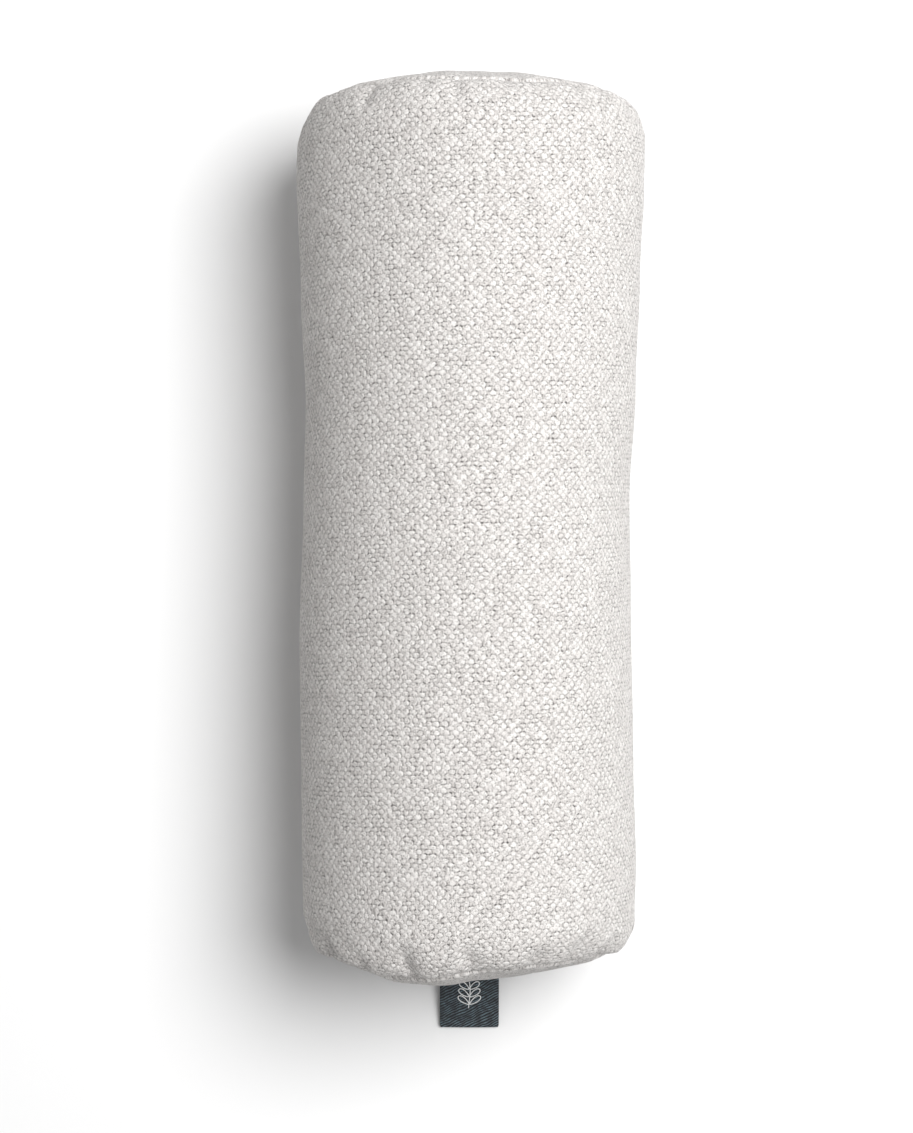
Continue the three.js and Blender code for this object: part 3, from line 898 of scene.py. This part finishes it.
def weave_material():
    """The cover's chunky off-white plain weave: fat soft weft that bulges over every second warp yarn,
    in a staggered pattern, with painted shade in the creases between the bulges and on the lower warp,
    uneven yarns and loose fibres."""
    n = Nodes("cover_weave")
    u, v = n.cloth(YARN_ROUND, YARN_ALONG)
    # The cloth was cut a little off the grain.
    u, v = (n.math("SUBTRACT", u, n.math("MULTIPLY", v, OFF_GRAIN)),
            n.math("ADD", v, n.math("MULTIPLY", u, OFF_GRAIN)))
    place = n.vector(u, v)

    def strayed(value, noise, amount):
        return n.math("ADD", value, n.math("MULTIPLY", n.math("SUBTRACT", noise, 0.5), amount))

    def squared(value, reach):
        return n.math("POWER", n.math("ABSOLUTE", n.math("DIVIDE", value, reach)), 2.0)

    # Yarns wander slowly and waver finely, so the grid isn't ruled.
    slow = n.node("ShaderNodeSeparateColor", Color=n.noise(place, 0.2, 1.0, 0.5, colour=True))
    fast = n.node("ShaderNodeSeparateColor", Color=n.noise(place, 1.7, 2.0, 0.6, colour=True))
    u = strayed(strayed(u, slow.outputs[0], 1.1), fast.outputs[0], 0.32)
    v = strayed(strayed(v, slow.outputs[1], 0.8), fast.outputs[1], 0.3)
    # Each bulge sits on every second crossing, which is a square lattice turned by 45 degrees.
    a = n.math("MULTIPLY", n.math("ADD", u, v), 0.5)
    b = n.math("MULTIPLY", n.math("SUBTRACT", u, v), 0.5)
    nearest = n.node("ShaderNodeTexVoronoi", {"voronoi_dimensions": "2D"},
                     Vector=n.vector(a, b), Scale=1.0, Randomness=0.17)
    centre = n.node("ShaderNodeSeparateXYZ", Vector=nearest.outputs["Position"])
    off_a = n.math("SUBTRACT", a, centre.outputs[0])
    off_b = n.math("SUBTRACT", b, centre.outputs[1])
    off_u, off_v = n.math("ADD", off_a, off_b), n.math("SUBTRACT", off_a, off_b)
    own = n.node("ShaderNodeSeparateColor", Color=nearest.outputs["Color"])
    plump = n.ramp(own.outputs[0], 0.0, 1.0, 0.58, 0.88, smooth=False)
    weft = n.math("SUBTRACT", n.math("SUBTRACT", 1.0, squared(off_u, 0.85)), squared(off_v, plump))
    # The warp shows as lower, narrower bulges between them, before and behind and left and right.
    from_u = n.math("SUBTRACT", 1.0, n.math("ABSOLUTE", off_u))
    from_v = n.math("SUBTRACT", 1.0, n.math("ABSOLUTE", off_v))
    warp = n.math("MINIMUM", n.math("ADD", squared(off_u, 0.5), squared(from_v, 0.75)),
                  n.math("ADD", squared(from_u, 0.5), squared(off_v, 0.75)))
    warp = n.math("SUBTRACT", 0.7, warp)
    fibres = n.noise(place, 2.2, 3.0, 0.8)
    top = strayed(n.math("MAXIMUM", weft, warp), fibres, 1.5)
    # The gaps between the bulges come and go. Their depth dents the relief and also darkens the colour
    # there as painted shade.
    open_here = n.ramp(n.noise(place, 0.9, 2.0, 0.6), 0.36, 0.62, 0.5, 1.0)
    gap_depth_and_painted_shade = n.math("MULTIPLY", n.ramp(top, 0.5, -0.12), open_here)
    warp_painted_shade_mask = n.ramp(n.math("SUBTRACT", warp, weft), -0.25, 0.25)
    speckle = n.ramp(n.noise(n.vector(v, u, 3.0), 1.9, 4.0, 0.9), 0.34, 0.54)
    tint = n.ramp(own.outputs[1], 0.0, 1.0)
    yarn = n.mix(tint, linear((230, 226, 223)), linear((242, 239, 236)))
    # Painted shade: the lower warp is coloured darker than the weft that bulges over it.
    yarn = n.mix(n.math("MULTIPLY", warp_painted_shade_mask, 0.5), yarn, linear((196, 191, 187)))
    yarn = n.mix(speckle, linear((150, 145, 142)), yarn)
    relief = n.math("SUBTRACT", top, n.math("MULTIPLY", gap_depth_and_painted_shade, 0.4))
    # The gaps' dark colour is painted shade in the crevices between the bulges.
    return n.surface(
        Base_Color=n.mix(gap_depth_and_painted_shade, yarn, linear((78, 74, 72))), Roughness=0.95, Specular_IOR_Level=0.15,
        Sheen_Weight=0.2, Sheen_Roughness=0.6, Normal=n.bump(relief, 1.0, 0.36 * MM))


def thread_material(name, colour, ply=0.5 * MM):
    """Twisted thread or coil: a fine diagonal ribbing in object space."""
    n = Nodes(name)
    place = n.place()
    parts = n.node("ShaderNodeSeparateXYZ", Vector=place)
    run = n.math("ADD", n.math("ADD", parts.outputs[0], parts.outputs[1]), parts.outputs[2])
    twist = n.math("SINE", n.math("MULTIPLY", run, 2 * math.pi / ply))
    dirt = n.noise(place, 900.0, 2.0)
    tone = n.mix(n.ramp(dirt, 0.3, 0.7), [c * 0.86 for c in colour[:3]] + [1], colour)
    return n.surface(Base_Color=tone, Roughness=0.6, Normal=n.bump(twist, 0.4, 0.06 * MM))


def nylon_material():
    """The coils' pale nylon, scuffed here and there."""
    n = Nodes("zip_nylon_coil")
    place = n.place()
    scuff = n.noise(place, 500.0, 3.0, 0.6)
    tone = n.mix(n.ramp(scuff, 0.35, 0.65), linear((226, 222, 217)), linear((243, 240, 236)))
    return n.surface(
        Base_Color=tone, Roughness=n.ramp(scuff, 0.3, 0.7, 0.3, 0.45), Subsurface_Weight=0.1,
        Subsurface_Radius=(1 * MM, 1 * MM, 1 * MM), Normal=n.bump(scuff, 0.15, 0.05 * MM))


def metal_material():
    """Satin nickel plate on die-cast zinc, worn a little in patches."""
    n = Nodes("zip_satin_nickel")
    place = n.place()
    cast = n.noise(place, 700.0, 4.0, 0.6)
    wear = n.noise(place, 160.0, 3.0, 0.5)
    tone = n.mix(n.ramp(wear, 0.4, 0.7), linear((168, 168, 166)), linear((196, 195, 190)))
    return n.surface(
        Base_Color=tone, Metallic=1.0, Roughness=n.ramp(wear, 0.3, 0.7, 0.28, 0.46),
        Normal=n.bump(cast, 0.12, 0.04 * MM))


def tape_material():
    """Herringbone zip tape, with painted shade in the grooves between its ribs."""
    n = Nodes("zip_tape_herringbone")
    u, v = n.cloth(1.1 * MM, 0.55 * MM)
    zig = n.math("PINGPONG", u, 1.0)
    rib = n.math("SINE", n.math("MULTIPLY", n.math("ADD", v, n.math("MULTIPLY", zig, 2.0)), 2 * math.pi))
    # Painted shade: the colour darkens where the ribs dip, following the bump's height.
    tone = n.mix(n.ramp(rib, -0.9, 0.4), linear((190, 186, 180)), linear((228, 225, 220)))
    return n.surface(Base_Color=tone, Roughness=0.85, Sheen_Weight=0.15, Normal=n.bump(rib, 0.7, 0.1 * MM))


def ribbon_material():
    """The label's dark slate twill, with a pale teal highlight painted on its rib tops."""
    n = Nodes("label_twill")
    u, v = n.cloth(0.62 * MM, 0.62 * MM)
    place = n.vector(u, v)
    bend = n.math("MULTIPLY", n.math("SUBTRACT", n.noise(place, 0.09, 1.0), 0.5), 4.0)
    across = n.math("ADD", n.math("ADD", n.math("MULTIPLY", u, 0.52), v), bend)
    rib = n.math("SINE", n.math("MULTIPLY", across, 2 * math.pi / 2.1))
    pick = n.math("SINE", n.math("MULTIPLY", u, 2 * math.pi))
    broken = n.noise(n.vector(u, n.math("MULTIPLY", across, 1.6)), 0.7, 2.0, 0.7)
    height = n.math("ADD", n.math("ADD", rib, n.math("MULTIPLY", pick, 0.2)),
                    n.math("MULTIPLY", n.math("SUBTRACT", broken, 0.5), 2.2))
    patchy = n.ramp(n.noise(place, 0.22, 2.0), 0.38, 0.62)
    low = n.mix(patchy, linear((12, 15, 19)), linear((15, 20, 25)))
    # Painted highlight: the raised ribs are coloured pale teal, in patches, over the dark slate in the
    # troughs.
    high = n.mix(patchy, linear((82, 91, 98)), linear((116, 135, 144)))
    return n.surface(
        Base_Color=n.mix(n.ramp(height, -0.6, 1.5), low, high), Roughness=0.6, Sheen_Weight=0.06,
        Normal=n.bump(height, 0.8, 0.16 * MM))


def cotton_material(name, light, dark, yarn=0.5 * MM):
    """Fine plain-woven cloth in object space, for the pieces inside the cover."""
    n = Nodes(name)
    place = n.place()
    parts = n.node("ShaderNodeSeparateXYZ", Vector=place)
    runs = n.math("ADD", parts.outputs[0], parts.outputs[2]), parts.outputs[1]
    a, b = (n.math("SINE", n.math("MULTIPLY", run, 2 * math.pi / yarn)) for run in runs)
    height = n.math("MULTIPLY", a, b)
    soil = n.noise(place, 60.0, 3.0)
    return n.surface(
        Base_Color=n.mix(n.ramp(soil, 0.3, 0.7), dark, light), Roughness=0.9,
        Normal=n.bump(height, 0.5, 0.08 * MM))


def hull_material():
    """Loose dry hulls, packed."""
    n = Nodes("dry_hulls")
    place = n.place()
    cells = n.node("ShaderNodeTexVoronoi", Vector=place, Scale=260.0)
    height = n.math("SUBTRACT", 1.0, cells.outputs["Distance"])
    tone = n.mix(n.noise(cells.outputs["Color"], 3.0), linear((112, 78, 44)), linear((172, 134, 86)))
    return n.surface(Base_Color=tone, Roughness=0.7, Normal=n.bump(height, 1.0, 1.2 * MM))


def dress(objects, material, body="cover"):
    """Gives each object its material, slot and body. A CAD node rides already, and body None leaves it."""
    for obj in objects if isinstance(objects, (list, tuple)) else [objects]:
        obj.data.materials.clear()
        obj.data.materials.append(material)
        if body is not None and "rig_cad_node" not in obj:
            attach(obj, body)


weave = weave_material()
nylon = nylon_material()
metal = metal_material()
stitch_thread = thread_material("cover_thread", linear((222, 218, 209)))
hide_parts("cover_body")
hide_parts("end_panel_front")
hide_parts("end_panel_rear")
dress([cover_body, panel_front, panel_rear], weave)
dress(coils, nylon)
dress(tapes, tape_material())
dress(topstitches, stitch_thread)
dress([frame["nodes"]["end_seam_" + end] for end in ("front", "rear")], stitch_thread)
dress(stops, metal)
dress(slider, metal, "slider")
dress(pull, metal, "pull")
cotton = cotton_material("liner_cotton_cloth", linear((236, 231, 218)), linear((214, 207, 190)))
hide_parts("liner_body")
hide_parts("hull_filling")
for node, obj in liner_ends.items():
    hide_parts(node)
dress([liner_body, *liner_ends.values()], cotton)
dress(filling, hull_material())
satin = cotton_material("care_satin_cloth", linear((246, 246, 244)), linear((232, 232, 228)), 0.25 * MM)
dress(frame["nodes"]["care_label"], satin)
dress(label, ribbon_material(), None)
# The ribbon is sewn against the panel; this is the point 9 mm out along its middle, which nothing below
# uses.
bend_end = label_frame(0.0, 9 * MM, 0.0)
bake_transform(label)
label_thread = thread_material("label_thread", linear((250, 251, 251)), 0.3 * MM)
dress(label_motif, label_thread, "label")

# ---------------------------------------------------------------- stage, light and camera

FLOOR_HALF = 6
KEY_PLACE = Vector((0.7, 0.38, 1.8))
KEY_AIM = Vector((0, 0, 0.05))
CAMERA_PLACE = (-6 * MM, -17.7 * MM, 1.3)


def make_stage():
    """A plain pale floor."""
    corners = [(x * FLOOR_HALF, y * FLOOR_HALF, 0) for x, y in ((-1, -1), (1, -1), (1, 1), (-1, 1))]
    floor = make_object("floor", corners, [(0, 1, 2, 3)], smooth=False)
    floor.data.materials.append(Nodes("studio_floor").surface(
        Base_Color=(0.9, 0.9, 0.9, 1), Roughness=0.9, Specular_IOR_Level=0.0))


def make_lights():
    """One big soft light high on the right, and a dim white world."""
    world = bpy.data.worlds.new("studio")
    bpy.context.scene.world = world
    world.use_nodes = True
    background = world.node_tree.nodes["Background"]
    background.inputs["Color"].default_value = (1, 1, 1, 1)
    background.inputs["Strength"].default_value = 0.3
    data = bpy.data.lights.new("key", "AREA")
    data.shape = "DISK"
    data.size = 1.2
    data.energy = 45
    key = bpy.data.objects.new("key", data)
    bpy.context.scene.collection.objects.link(key)
    key.location = KEY_PLACE
    key.rotation_mode = "QUATERNION"
    key.rotation_quaternion = (KEY_AIM - KEY_PLACE).to_track_quat("-Z", "Y")


def make_camera():
    """The camera, straight above."""
    data = bpy.data.cameras.new("overhead")
    data.sensor_width = 36
    data.lens = 88
    data.clip_end = 50
    camera = bpy.data.objects.new("overhead", data)
    bpy.context.scene.collection.objects.link(camera)
    camera.location = CAMERA_PLACE
    bpy.context.scene.camera = camera
    bpy.context.scene.view_settings.view_transform = "Standard"


make_stage()
make_lights()
make_camera()
